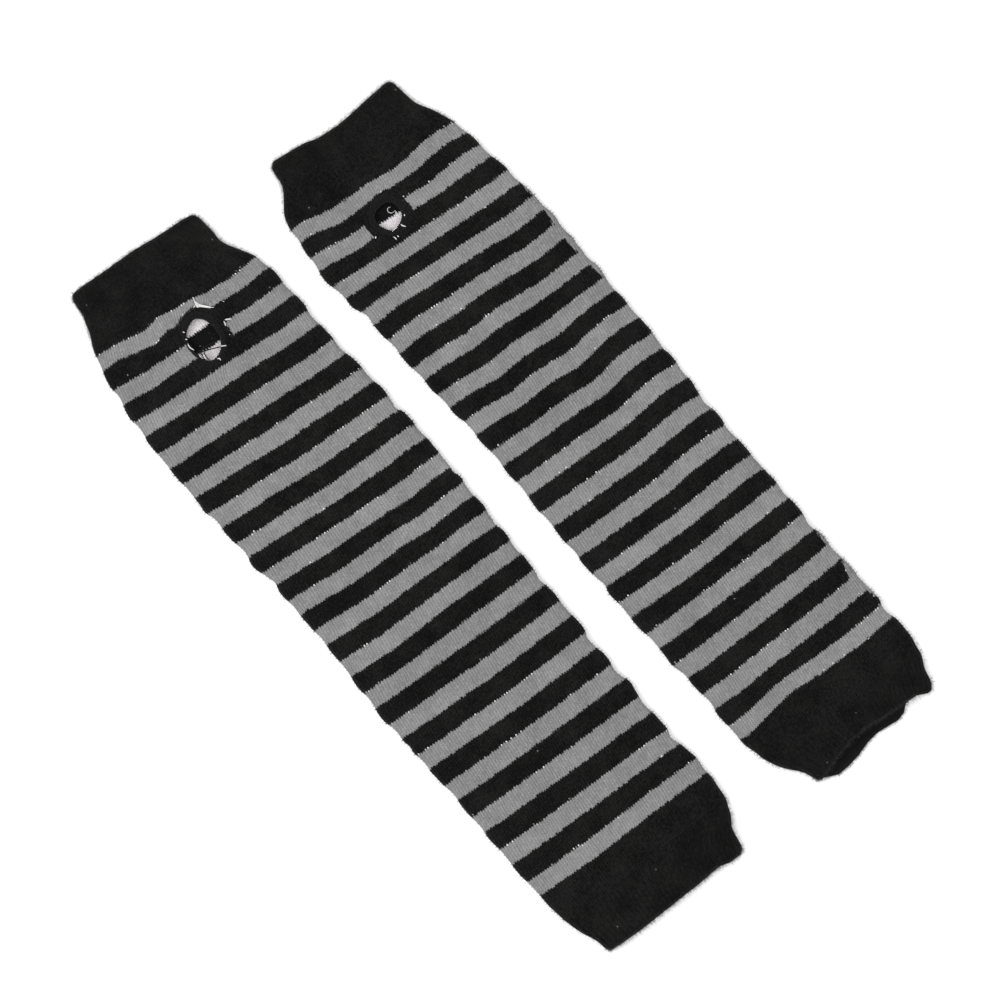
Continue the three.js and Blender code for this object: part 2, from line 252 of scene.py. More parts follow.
# The uneven edges of the mouths, across each layer: (x, y) along the edge.
Mouth = namedtuple("Mouth", "upper lower")
LEFT_HAND = Mouth(
    upper=[
        (-28.6, 172.0), (-26.5, 173.6), (-22, 173.8), (-8, 172.5), (4, 171.4), (12, 169.9),
        (26, 167.8), (30, 166.8), (32.2, 165.7), (33.2, 163.4),
    ],
    lower=[
        (-28.6, 171.6), (-20, 172.8), (0, 171.0), (12, 169.2), (24, 167.6), (30, 166.0),
        (33.2, 163.0),
    ],
)
LEFT_ARM = Mouth(
    upper=[
        (-36, -165.0), (-34, -166.1), (-20, -167.2), (0, -167.9), (10, -168.4), (18, -167.8),
        (21, -168.7), (25, -170.3), (30, -170.6), (32.6, -169.0),
    ],
    lower=[
        (-36, -164.9), (-20, -166.9), (0, -167.8), (12, -168.7), (20, -168.6), (30, -170.1),
        (33, -168.4),
    ],
)
RIGHT_HAND = Mouth(
    upper=[
        (-30.4, 163.2), (-28.8, 166.0), (-26, 167.1), (-18, 165.9), (-12, 164.6), (-7, 162.6),
        (2, 161.2), (8, 161.0), (18, 161.1), (27, 160.9), (30.0, 160.2), (31.2, 158.0),
    ],
    lower=[
        (-30.4, 162.8), (-24, 165.8), (-12, 163.8), (0, 160.8), (10, 160.0), (26, 159.8),
        (31.2, 157.6),
    ],
)
RIGHT_ARM = Mouth(
    upper=[
        (-28.6, -162.0), (-26.8, -163.6), (-24.5, -163.6), (-22, -162.4), (-17.5, -161.0),
        (-8, -159.4), (0, -159.4), (10, -161.2), (18, -162.3), (24, -163.3), (28, -165.9),
        (30, -166.1), (32.2, -164.0),
    ],
    lower=[
        (-28.4, -161.8), (-25, -163.8), (-20, -166.6), (-14, -166.6), (-8, -165.9), (-2, -164.5),
        (3, -164.4), (8, -165.3), (12, -166.1), (16, -165.4), (19, -163.0), (26, -162.0),
        (32.2, -162.8),
    ],
)

# The edge of a thumb hole's opening, with the width of the binding's roll there.
Edge = namedtuple("Edge", "x y roll")
LEFT_OPENING = table(
    Edge,
    (4.0, 134.8, 2.9), (1.4, 134.3, 2.9), (-1.2, 132.9, 2.6), (-3.0, 130.9, 2.2),
    (-4.0, 128.4, 1.4), (-4.4, 125.2, 1.2), (-3.7, 121.6, 1.3), (-2.9, 119.0, 1.8),
    (-0.6, 117.4, 2.6), (3.1, 118.2, 2.9), (6.2, 121.2, 2.9), (7.5, 125.1, 2.9), (7.4, 129.0, 2.9),
    (6.4, 132.6, 2.9),
)
RIGHT_OPENING = table(
    Edge,
    (-6.4, 125.7, 3.4), (-3.4, 125.1, 3.4), (-1.6, 123.2, 3.1), (-1.2, 120.6, 2.9),
    (-2.1, 117.4, 2.9), (-4.9, 115.5, 2.9), (-9.2, 115.4, 2.9), (-10.7, 118.0, 2.8),
    (-11.6, 121.0, 2.8), (-11.0, 123.6, 3.0), (-9.2, 125.2, 3.3),
)

# Loose yarn at the thumb holes: "light" plating yarn or "black", its radius, its height above the
# upper layer, and the points it passes.
Thread = namedtuple("Thread", "yarn radius height points")
LEFT_THREADS = table(
    Thread,
    ("light", 0.20, 0.15, [(9.2, 141.8), (8.9, 140.0), (8.2, 138.2), (8.3, 137.4), (9.0, 137.0)]),
    ("light", 0.22, 0.10, [(8.9, 137.1), (10.1, 136.0), (11.5, 134.5), (13.2, 133.1)]),
    ("light", 0.24, 0.15, [
        (9.1, 140.8), (8.8, 139.0), (8.7, 137.9), (9.4, 137.0), (10.5, 135.9), (12, 134.3),
    ]),
    ("light", 0.22, 0.20, [(9.2, 139.6), (9.2, 138.3), (9.8, 137.1), (10.9, 135.8), (12.3, 134.0)]),
    ("light", 0.34, 0.05, [(8.3, 138.3), (8.8, 137.7), (9.6, 136.9)]),
    ("light", 0.22, 0.3, [(12.5, 126.3), (12.3, 125.4), (11.8, 124.4)]),
    ("light", 0.24, 0.3, [(13.1, 126.5), (14.2, 125.9), (15.5, 124.9)]),
    ("light", 0.24, 0.5, [(-4.3, 128.9), (-4.6, 127.2), (-4.1, 125.3)]),
    ("light", 0.20, 0.4, [(4.9, 119.7), (5.8, 119.0), (6.8, 118.4)]),
    ("light", 0.24, 0.6, [(6.5, 118.6), (6.9, 118.2)]),
    ("light", 0.22, 0.4, [(0.7, 116.6), (1.5, 116.1), (1.3, 115.2)]),
    ("light", 0.20, 0.5, [(-2.7, 133.8), (-2.3, 133.0)]),
    ("light", 0.20, 0.5, [(-3.8, 130.9), (-3.4, 130.2)]),
    ("light", 0.26, -0.2, [(-3.7, 122.5), (-3.9, 121.4), (-3.8, 120.2)]),
    ("light", 0.24, -0.2, [(-2.3, 121.6), (-2.7, 120.6), (-2.8, 119.4)]),
    ("light", 0.16, 0.3, [(19.8, 138.7), (20.1, 138.3)]),
    ("light", 0.16, 0.3, [(17.4, 132.5), (17.8, 132.2)]),
    ("light", 0.15, 0.3, [(10.7, 120.9), (11.0, 120.6)]),
    ("black", 0.22, -0.9, [(-5.4, 124.2), (-0.6, 123.4), (1.2, 123.3), (3.8, 122.5), (8.4, 121.6)]),
    ("black", 0.24, -0.6, [(-4.8, 123.6), (-3.2, 123.2), (0.0, 121.9), (4.0, 119.9), (6.6, 118.4)]),
    ("black", 0.20, -0.5, [(-2.7, 123.2), (-3.0, 121.0), (-3.4, 118.2)]),
    ("black", 0.20, -0.5, [(-1.3, 122.6), (-2.0, 120.8), (-2.2, 117.6)]),
)
RIGHT_THREADS = table(
    Thread,
    ("light", 0.12, -1.6, [
        (-3.2, 122.8), (-4.5, 123.1), (-5.3, 122.0), (-4.6, 120.7), (-3.3, 120.5),
    ]),
    ("light", 0.10, -1.4, [(-3.4, 120.7), (-2.8, 120.0), (-3.2, 119.5)]),
    ("light", 0.24, 0.5, [(-4.9, 114.7), (-4.7, 113.8), (-4.0, 112.7)]),
    ("light", 0.20, 0.4, [(-10.5, 112.9), (-10.2, 112.1), (-10.3, 111.2)]),
    ("light", 0.18, 0.4, [(-9.1, 112.3), (-8.9, 111.9), (-8.9, 111.4)]),
    ("light", 0.16, 0.5, [(-6.7, 114.7), (-8.1, 114.9), (-9.4, 114.8)]),
    ("light", 0.17, 0.4, [(-1.2, 116.8), (-1.6, 116.1)]),
    ("light", 0.26, 0.3, [(-15.6, 117.7), (-16.3, 117.2)]),
    ("light", 0.22, 0.3, [(-1.9, 130.0), (-2.5, 129.5)]),
    ("light", 0.20, 0.3, [(3.4, 122.7), (3.3, 122.0)]),
)

# A thumb hole: its middle, the edge of its opening, the black patch round it, and how far the lower
# layer's courses lie towards the arm end under it.
Thumb = namedtuple("Thumb", "x y opening patch_x patch_y patch_width patch_length below")
# A warmer: where its own frame lies in the pair's, its tables, and the seams of its cuffs.
Warmer = namedtuple(
    "Warmer",
    "side place_x place_y turn sections stripes waves lower_waves creases pulls nips peeks "
    "hand arm threads hand_seam arm_seam thumb seed",
)
WARMERS = [
    Warmer(
        side="left",
        place_x=-48.8,
        place_y=-0.77,
        turn=-0.45,
        sections=LEFT_SECTIONS,
        stripes=LEFT_STRIPES,
        waves=LEFT_WAVES,
        lower_waves=LEFT_LOWER_WAVES,
        creases=LEFT_CREASES,
        pulls=LEFT_PULLS,
        nips=LEFT_NIPS,
        peeks=LEFT_PEEKS,
        hand=LEFT_HAND,
        arm=LEFT_ARM,
        threads=LEFT_THREADS,
        hand_seam=143.5,
        arm_seam=-147.0,
        thumb=Thumb(1.5, 126.2, LEFT_OPENING, 3.8, 127.0, 17.2, 23.6, 5.9),
        seed=11,
    ),
    Warmer(
        side="right",
        place_x=49.3,
        place_y=-6.67,
        turn=0.45,
        sections=RIGHT_SECTIONS,
        stripes=RIGHT_STRIPES,
        waves=RIGHT_WAVES,
        lower_waves=RIGHT_LOWER_WAVES,
        creases=RIGHT_CREASES,
        pulls=RIGHT_PULLS,
        nips=RIGHT_NIPS,
        peeks=RIGHT_PEEKS,
        hand=RIGHT_HAND,
        arm=RIGHT_ARM,
        threads=RIGHT_THREADS,
        hand_seam=136.0,
        arm_seam=-143.0,
        thumb=Thumb(-6.4, 121.6, RIGHT_OPENING, -6.8, 120.6, 19.6, 19.0, 3.6),
        seed=23,
    ),
]
BINDING_HEIGHT = 2.3
BINDING_WRAPS = 46
BINDING_STEPS = 6  # mesh rows to a wrap
BINDING_SIDES = 14
BINDING_BLUR = 17  # mesh rows over which the opening's edge is smoothed under the binding
BINDING_KNOTS = 13  # places round it where its thickness is drawn at random
THREAD_STEPS = 8  # mesh rows between two points of a thread
THREAD_SIDES = 8
HOLE_MARGIN = 1.0  # the block of mesh that opens is taken this much wider than the opening
HOLE_FADE = 0.9  # the warp of the mesh fades out over this many half-widths of the block


# ---------------------------------------------------------------- the form of a flat tube
def profile(rows, along):
    """The columns of a section table at these places along a warmer, smoothed between its rows."""
    fine = np.arange(-TABLE_END, TABLE_END + 1)
    blur = np.hanning(TABLE_BLUR)
    blur /= blur.sum()
    places = [row.along for row in rows][::-1]
    found = {}
    for name in Section._fields[1:]:
        values = np.interp(fine, places, [getattr(row, name) for row in rows][::-1])
        values = np.convolve(np.pad(values, TABLE_BLUR // 2, mode="edge"), blur, "valid")
        found[name] = np.interp(along, fine, values)
    return found


def bumps(rows, x, y, amount):
    """The sum of soft round bumps from a table of waves or pulls."""
    total = np.zeros(np.broadcast(x, y).shape)
    for row in rows:
        u = (x - row.x) / row.across
        v = (y - row.y) / row.along
        total += getattr(row, amount) * np.exp(-(u * u + v * v))
    return total


def troughs(creases, x, y):
    """The depth of a table's creases at points of a layer."""
    total = np.zeros(np.broadcast(x, y).shape)
    for crease in creases:
        nearest = np.full(total.shape, FAR)
        for (x0, y0), (x1, y1) in zip(crease.points, crease.points[1:]):
            run, rise = x1 - x0, y1 - y0
            share = np.clip(((x - x0) * run + (y - y0) * rise) / (run**2 + rise**2), 0, 1)
            away = np.hypot(x - x0 - share * run, y - y0 - share * rise)
            nearest = np.minimum(nearest, away)
        total += crease.depth * np.exp(-((nearest / crease.width) ** 2))
    return total


def smooth(t):
    t = np.clip(t, 0.0, 1.0)
    return t * t * (3.0 - 2.0 * t)


def grey_depth(warmer, course):
    """How far a course lies inside its nearest grey stripe: negative in the black."""
    depth = np.full(np.shape(course), -FAR)
    for stripe in warmer.stripes:
        depth = np.maximum(depth, stripe.width / 2 - np.abs(course - stripe.middle))
    return depth


def grey_half(warmer, course):
    """1 in the hand half of the nearest grey stripe, -1 in its arm half."""
    middles = np.array([stripe.middle for stripe in warmer.stripes])
    nearest = middles[np.argmin(np.abs(course[..., None] - middles), axis=-1)]
    return np.clip((course - nearest) * 2.0, -1.0, 1.0)


def lower_shift(warmer, along, x, half_width):
    """How far the lower layer's courses lie towards the arm end of the upper layer's."""
    near = np.exp(-(((along - warmer.thumb.y) / BELOW_REACH) ** 2))
    return warmer.thumb.below * near * (1.0 - np.clip(x / half_width, -1, 1) ** 2)


def mouth_shift(warmer, along, x, layer, tilt):
    """How far the uneven edge of a mouth draws a course along the tube, near that mouth."""
    total = 0.0
    ends = ((warmer.hand, warmer.sections[0].along, 1), (warmer.arm, warmer.sections[-1].along, -1))
    for mouth, end, sign in ends:
        edge = 0.0
        for points, share in ((mouth.upper, layer), (mouth.lower, 1 - layer)):
            edge = edge + share * np.interp(x, [p[0] for p in points], [p[1] for p in points])
        near = smooth(1.0 - sign * (end - along) / MOUTH_REACH)
        total = total + near * (edge - (end - tilt * x))
    return total


def layer_lift(warmer, section, x, y, layer):
    """How far the soft waves and the creases move a layer up at (x, y)."""
    clear = np.minimum(x - section["left"], section["right"] - x) - section["height"] / 2
    upper = bumps(warmer.waves, x, y, "rise") - troughs(warmer.creases, x, y)
    lower = bumps(warmer.lower_waves, x, y, "rise")
    return smooth(clear / FOLD_EASE) * np.where(layer > 0.5, upper, lower)


def tube_grid(warmer, along, inset, columns, relief):
    """Points of one face of the flattened tube, as a dict of arrays. along and inset hold one
    number for each row, columns the mesh columns, and relief(place) how far the face stands out."""
    section = {name: values[:, None] for name, values in profile(warmer.sections, along).items()}
    along = along[:, None]
    fold = section["height"] / 2
    left_centre = section["left"] + fold
    right_centre = section["right"] - fold
    straight = right_centre - left_centre
    half_turn = math.pi * fold
    perimeter = 2 * (straight + half_turn)
    columns = columns[None, :]
    wales = columns / WALE_COLUMNS - LEAN * along
    wander = sum(
        share * np.sin(FULL_TURN * (along / length + columns / width))
        for share, length, width in WANDERS
    )
    arc = np.mod(wales / WALES * perimeter + WALE_WANDER * wander, perimeter)
    stretches = [arc < straight, arc < straight + half_turn, arc < 2 * straight + half_turn]
    angle = np.select(
        stretches,
        [-math.pi / 2, (arc - straight) / fold - math.pi / 2, math.pi / 2],
        (arc - 2 * straight - half_turn) / fold + math.pi / 2,
    )
    across = np.select(
        stretches,
        [left_centre + arc, right_centre + 0 * arc, right_centre - (arc - straight - half_turn)],
        left_centre + 0 * arc,
    )
    place = {
        "along": along + 0 * arc,
        "column": columns + 0 * arc,
        "side": np.cos(angle) * (np.abs(np.cos(angle)) > 1e-6),
        "up": np.sin(angle),
        "layer": (1 + np.sin(angle)) / 2,
        "grey": grey_depth(warmer, along) + 0 * arc,
    }
    radius = fold - inset[:, None] + relief(place)
    x = across + radius * place["side"]
    z = fold + radius * place["up"]
    middle = (section["left"] + section["right"]) / 2
    half_width = (section["right"] - section["left"]) / 2
    edge = ((x - middle) / half_width) ** 4
    layer = place["layer"]
    tilted = along - section["tilt"] * x
    pull = bumps(warmer.pulls, x, tilted, "shift") - EDGE_BEND * edge
    shift = lower_shift(warmer, along, x - middle, half_width)
    mouth = mouth_shift(warmer, along, x, layer, section["tilt"])
    y = tilted - pull * layer - shift * (1 - layer) + mouth
    flat = np.abs(place["up"]) > FLAT
    z = z + np.where(flat, layer_lift(warmer, section, x, y, layer), 0.0)
    place.update(x=x, y=y, z=z, pull=pull, mouth=mouth, on_top=layer > FLAT)
    place.update(tilt=section["tilt"] + 0 * arc, edge_x=section["right"] + 0 * arc)
    return place


def outer_relief(warmer, ribs, rng):
    """How far the outer face stands out: grooves of wales or ribs, stripes, uneven folds."""
    wobble = rng.uniform(0, FULL_TURN, len(WOBBLE_LENGTHS))
    groove_phase = rng.uniform(0, FULL_TURN, WALES)
    groove_length = rng.uniform(*GROOVE_LENGTHS, WALES)
    rib_columns = WALE_COLUMNS * RIB_WALES

    def relief(place):
        column = place["column"]
        along = place["along"]
        wale = (column / WALE_COLUMNS).astype(int) % WALES
        uneven = 1 + 0.5 * np.sin(FULL_TURN * along / groove_length[wale] + groove_phase[wale])
        groove = GROOVE * uneven * (np.mod(column, WALE_COLUMNS) == 0)
        if ribs:
            rib = 0.5 + 0.5 * np.cos(FULL_TURN * (np.mod(column, rib_columns) / rib_columns))
            depth = smooth((warmer.arm_seam - along) / RIB_START)
            groove = groove * (1 - 0.5 * depth) + RIB_GROOVE * depth * rib
        contrast = -np.tanh(place["grey"] / COLOUR_EASE)
        fold = place["side"] ** 2
        puff = STRIPE_PUFF * contrast * smooth(place["layer"] * 2 - 0.6) * (1 - fold)
        uneven = np.zeros_like(contrast)
        for phase, length in zip(wobble, WOBBLE_LENGTHS):
            uneven += WOBBLE * np.sin(FULL_TURN * along / length + phase + 2 * place["side"])
        nips = np.zeros_like(contrast)
        for nip in warmer.nips:
            at = np.exp(-(((along - nip.along) / nip.reach) ** 2))
            nips += nip.depth * at * np.clip(nip.side * place["side"], 0, 1)
        out = puff + fold * (STRIPE_SCALLOP * contrast + uneven) - nips * fold
        resting = place["layer"] < 0.02
        return np.where(resting, np.minimum(out, 0.0), out) - groove

    return relief


def no_relief(place):
    return 0.0


# ---------------------------------------------------------------- meshes
class Builder:
    """Collects the points and faces of one closed mesh, with its knit map (wale and course at every
    corner) and a bake map."""

    def __init__(self):
        self.points = []
        self.fields = {}
        self.faces = []
        self.bake = []
        self.knit = []
        self.count = 0

    def add_grid(self, grid, **fields):
        rows, columns = grid["x"].shape
        first = self.count
        self.points.append(np.stack([grid["x"], grid["y"], grid["z"]], -1).reshape(-1, 3))
        for name, values in fields.items():
            self.fields.setdefault(name, []).append((values + 0 * grid["x"]).ravel())
        self.count += rows * columns
        return first + np.arange(rows * columns).reshape(rows, columns)

    def add_faces(self, faces, bake, knit, flip):
        if flip:
            faces, bake, knit = faces[:, ::-1], bake[:, ::-1], knit[:, ::-1]
        self.faces.append(faces)
        self.bake.append(bake)
        self.knit.append(knit)

    def add_quads(self, ids, keep, low, high, wales, courses, flip):
        """The quads between a grid's rows and columns, which close round the tube."""
        rows, columns = ids.shape
        row, column = np.nonzero(keep)
        after = (column + 1) % columns
        corners = ((row, column), (row, after), (row + 1, after), (row + 1, column))
        quads = np.stack([ids[corner] for corner in corners], 1)
        right = np.stack([column, column + 1, column + 1, column], 1)
        down = np.stack([row, row, row + 1, row + 1], 1)
        u = right / columns
        v = down / (rows - 1)
        bake = np.stack([low[0] + u * (high[0] - low[0]), low[1] + v * (high[1] - low[1])], -1)
        knit = np.stack([wales[right], courses[down]], -1)
        self.add_faces(quads, bake, knit, flip)

    def add_rim(self, outer, inner, step, level, outer_knit, inner_knit, flip):
        """Triangles from a line of outer points to a line of inner points, "step" outer ones to one
        inner. Each line comes with its points' places on the knit map."""
        half = step // 2
        triangles = []
        bake = []
        knit = []
        length = len(outer) - 1

        def corner(k, on_inner):
            if on_inner:
                return inner[k], (k * step / length, level + RIM_HEIGHT), inner_knit[k]
            return outer[k], (k / length, level), outer_knit[k]

        def add(*corners):
            found = [corner(k, on_inner) for k, on_inner in corners]
            triangles.append([c[0] for c in found])
            bake.append([c[1] for c in found])
            knit.append([c[2] for c in found])

        for k in range(len(inner) - 1):
            start = k * step
            for m in range(step):
                add((start + m + 1, False), (start + m, False), (k if m < half else k + 1, True))
            add((start + half, False), (k, True), (k + 1, True))
        self.add_faces(np.array(triangles), np.array(bake), np.array(knit), flip)

    def finish(self, name):
        faces = [face.tolist() for block in self.faces for face in block]
        points = np.concatenate(self.points) * MM
        fields = {key: np.concatenate(parts) for key, parts in self.fields.items()}
        maps = {
            key: np.concatenate([block.reshape(-1, 2) for block in blocks])
            for key, blocks in (("knit", self.knit), ("OFBake", self.bake))
        }
        return make_mesh(name, points, faces, fields, maps)


def make_mesh(name, points, faces, fields=None, maps=None):
    mesh = bpy.data.meshes.new(name)
    mesh.from_pydata(points.tolist(), [], faces)
    for key, values in (fields or {}).items():
        layer = mesh.attributes.new(key, "FLOAT", "POINT")
        layer.data.foreach_set("value", np.ascontiguousarray(values, dtype=np.float32))
    for key, places in (maps or {}).items():
        layer = mesh.uv_layers.new(name=key)
        layer.uv.foreach_set("vector", np.ascontiguousarray(places, dtype=np.float32).ravel())
    mesh.polygons.foreach_set("use_smooth", [True] * len(mesh.polygons))
    mesh.update()
    return mesh


def placed(warmer, x, y):
    """Points of a warmer's own frame in the pair's frame."""
    turn = math.radians(warmer.turn)
    across = warmer.place_x + x * math.cos(turn) - y * math.sin(turn)
    return across, warmer.place_y + x * math.sin(turn) + y * math.cos(turn)


def put(warmer, grid):
    grid = dict(grid)
    grid["x"], grid["y"] = placed(warmer, grid["x"], grid["y"])
    return grid


def add_piece(name, mesh, material, node=None):
    piece = bpy.data.objects.new(name, mesh)
    bpy.context.scene.collection.objects.link(piece)
    piece.data.materials.append(material)
    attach(piece, "root")
    if node:
        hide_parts(node)
    return piece


# ---------------------------------------------------------------- the thumb hole
def opening(warmer, turn):
    """The radius of the thumb hole's opening in these directions, and the binding's roll there."""
    thumb = warmer.thumb
    angles = np.array([math.atan2(edge.y - thumb.y, edge.x - thumb.x) for edge in thumb.opening])
    radii = np.array([math.hypot(edge.x - thumb.x, edge.y - thumb.y) for edge in thumb.opening])
    rolls = np.array([edge.roll for edge in thumb.opening])
    order = np.argsort(angles)
    turn = np.mod(turn + math.pi, FULL_TURN) - math.pi
    radius = np.interp(turn, angles[order], radii[order], period=FULL_TURN)
    return radius, np.interp(turn, angles[order], rolls[order], period=FULL_TURN)


def hole_block(warmer, grid):
    """The block of mesh rows and columns that opens into the thumb hole, in whole inner quads."""
    thumb = warmer.thumb
    away = np.hypot(grid["x"] - thumb.x, grid["y"] - thumb.y) + FAR * ~grid["on_top"]
    row, column = np.unravel_index(np.argmin(away), away.shape)
    pitch = np.abs(grid["x"][row, column + 1] - grid["x"][row, column])
    half_width = opening(warmer, 0.0)[0] + HOLE_MARGIN
    half_length = opening(warmer, math.pi / 2)[0] + HOLE_MARGIN
    columns = INNER_COLUMNS * max(1, round(half_width / pitch / INNER_COLUMNS))
    rows = INNER_ROWS * max(1, round(half_length / ROW / INNER_ROWS))
    column = INNER_COLUMNS * round(column / INNER_COLUMNS)
    row = INNER_ROWS * round(row / INNER_ROWS)
    return row, column, rows, columns


def open_hole(warmer, grid, row, column, rows, columns):
    """Draws the points round the block on to the middle of the binding, fading out round it."""
    thumb = warmer.thumb
    count_rows, count_columns = grid["x"].shape
    v = -(np.arange(count_rows)[:, None] - row) / rows
    u = -(np.arange(count_columns)[None, :] - column) / columns
    square = np.maximum(np.abs(u), np.abs(v))
    turn = np.arctan2(v, u + 0 * v)
    fade = 1 - smooth((square - 1.0) / HOLE_FADE)
    fade = np.where(grid["on_top"], fade, 0.0)
    radius, roll = opening(warmer, turn)
    radius = radius + roll / 2
    x = thumb.x + square * radius * np.cos(turn)
    y = thumb.y + square * radius * np.sin(turn)
    grid["x"] = grid["x"] + fade * (x - grid["x"])
    grid["y"] = grid["y"] + fade * (y - grid["y"])


def patch_depth(warmer, grid):
    """How far a point of the upper layer lies outside the black patch round the thumb hole."""
    thumb = warmer.thumb
    u = np.abs((grid["x"] - thumb.patch_x) / (thumb.patch_width / 2))
    v = np.abs((grid["y"] - thumb.patch_y) / (thumb.patch_length / 2))
    away = ((u**3 + v**3) ** (1 / 3) - 1) * min(thumb.patch_width, thumb.patch_length) / 2
    return np.where(grid["on_top"], away, FAR)


def grey_field(warmer, grid):
    """grey_depth where each point ended up, with the black patch at the thumb hole left out and the
    lower layer's grey showing along the side fold. Also grey_half."""
    course = grid["y"] + grid["tilt"] * grid["x"] + grid["pull"] - grid["mouth"]
    course = np.where(grid["on_top"], course, grid["along"])
    depth = grey_depth(warmer, course)
    for peek in warmer.peeks:
        width = peek.width * np.exp(-(((grid["y"] - peek.y) / peek.reach) ** 2))
        beyond = grid["x"] - (grid["edge_x"] - width)
        depth = np.maximum(depth, np.where(width > 0.3, beyond, -FAR))
    return np.minimum(depth, patch_depth(warmer, grid)), grey_half(warmer, course)


# ---------------------------------------------------------------- pieces of a warmer
def knit_tube(warmer, name, start, end, row_step, mouths=(), ribs=False, hole=False):
    """A stretch of the tube between two courses, with its inside face. mouths names its open
    ends, "hand" or "arm", which get a rounded rim."""
    rng = np.random.default_rng(warmer.seed)
    around = COLUMNS // INNER_COLUMNS
    steps = INNER_ROWS * round((start - end) / row_step / INNER_ROWS)
    along = np.linspace(start, end, steps + 1)
    inset = np.zeros(steps + 1)
    for mouth, rows in (("hand", slice(0, 3)), ("arm", slice(-1, -4, -1))):
        if mouth in mouths:
            inset[rows] = RIM_INSETS
    columns = np.arange(COLUMNS, dtype=float)
    outer = tube_grid(warmer, along, inset, columns, outer_relief(warmer, ribs, rng))
    inner_along = along[::INNER_ROWS]
    inner_inset = np.full(len(inner_along), WALL)
    for mouth, last in (("hand", 0), ("arm", -1)):
        if mouth in mouths:
            inner_inset[last] = WALL - RIM_ROUND
    inner = tube_grid(warmer, inner_along, inner_inset, columns[::INNER_COLUMNS], no_relief)
    keep_outer = np.ones((steps, COLUMNS), bool)
    keep_inner = np.ones((len(inner_along) - 1, around), bool)
    if hole:
        row, column, rows, wide = hole_block(warmer, outer)
        inner_row, inner_rows = row // INNER_ROWS, rows // INNER_ROWS
        inner_column, inner_wide = column // INNER_COLUMNS, wide // INNER_COLUMNS
        near, far = inner_row - inner_rows, inner_row + inner_rows
        left, right = inner_column - inner_wide, inner_column + inner_wide
        open_hole(warmer, outer, row, column, rows, wide)
        open_hole(warmer, inner, inner_row, inner_column, inner_rows, inner_wide)
        keep_outer[row - rows : row + rows, column - wide : column + wide] = False
        keep_inner[near:far, left:right] = False
    build = Builder()
    grey, half = grey_field(warmer, outer)
    outer_ids = build.add_grid(put(warmer, outer), grey=grey, half=half, inside=0.0)
    grey, half = grey_field(warmer, inner)
    inner_ids = build.add_grid(put(warmer, inner), grey=grey, half=half, inside=1.0)
    wales = np.arange(COLUMNS + 1) / WALE_COLUMNS
    inner_wales = wales[::INNER_COLUMNS]
    build.add_quads(outer_ids, keep_outer, *OUTER_BAKE, wales, along, False)
    build.add_quads(inner_ids, keep_inner, *INNER_BAKE, inner_wales, inner_along, True)
    outer_ids = outer_ids[:, np.append(np.arange(COLUMNS), 0)]
    inner_ids = inner_ids[:, np.append(np.arange(around), 0)]
    outer_knit = np.stack(np.broadcast_arrays(wales, along[:, None]), -1)
    inner_knit = outer_knit[::INNER_ROWS, ::INNER_COLUMNS]

    def rim(outer_line, inner_line, step, level, flip):
        """Joins a line of outer points to a line of inner ones, given as places in the grids."""
        lines = outer_ids[outer_line], inner_ids[inner_line]
        places = outer_knit[outer_line], inner_knit[inner_line]
        build.add_rim(*lines, step, level, *places, flip)

    def rim_across(row, inner_row, first, last, level, flip):
        """The rim along one mesh row, between two inner columns."""
        here = slice(first * INNER_COLUMNS, last * INNER_COLUMNS + 1)
        rim((row, here), (inner_row, slice(first, last + 1)), INNER_COLUMNS, level, flip)

    def rim_along(column, inner_column, first, last, level, flip):
        """The rim along one mesh column, between two inner rows."""
        here = slice(first * INNER_ROWS, last * INNER_ROWS + 1)
        rim((here, column), (slice(first, last + 1), inner_column), INNER_ROWS, level, flip)

    rim_across(0, 0, 0, around, RIM_LEVELS[0], False)
    rim_across(-1, -1, 0, around, RIM_LEVELS[1], True)
    if hole:
        rim_across(row - rows, near, left, right, RIM_LEVELS[2], True)
        rim_across(row + rows, far, left, right, RIM_LEVELS[3], False)
        rim_along(column - wide, left, near, far, RIM_LEVELS[4], False)
        rim_along(column + wide, right, near, far, RIM_LEVELS[5], True)
    mesh = build.finish(name)
    mesh.set_sharp_from_angle(angle=math.radians(SHARP_ANGLE))
    return mesh, outer


def upper_height(warmer, x, y):
    """The height of the upper layer's outside face at points of the warmer's own frame."""
    x = np.atleast_1d(np.asarray(x, float))
    y = np.atleast_1d(np.asarray(y, float))
    section = profile(warmer.sections, y + profile(warmer.sections, y)["tilt"] * x)
    return section["height"] + layer_lift(warmer, section, x, y, 1.0)


def swept(points, radii, sides):
    """A tube of round sections along a smooth open line: its points and its faces."""
    points = np.asarray(points, float)
    ahead = np.gradient(points, axis=0)
    ahead /= np.linalg.norm(ahead, axis=1)[:, None]
    side = np.cross(ahead, (0.0, 0.0, 1.0))
    side /= np.maximum(np.linalg.norm(side, axis=1)[:, None], 1e-9)
    up = np.cross(side, ahead)
    turn = np.linspace(0, FULL_TURN, sides, endpoint=False)
    rings = points[:, None] + radii[:, None, None] * (
        np.cos(turn)[None, :, None] * side[:, None] + np.sin(turn)[None, :, None] * up[:, None]
    )
    count = len(points)
    faces = []
    for i in range(count - 1):
        for k in range(sides):
            m = (k + 1) % sides
            faces.append((i * sides + k, i * sides + m, (i + 1) * sides + m, (i + 1) * sides + k))
    faces.append(tuple(range(sides))[::-1])
    faces.append(tuple((count - 1) * sides + k for k in range(sides)))
    return rings.reshape(-1, 3), faces


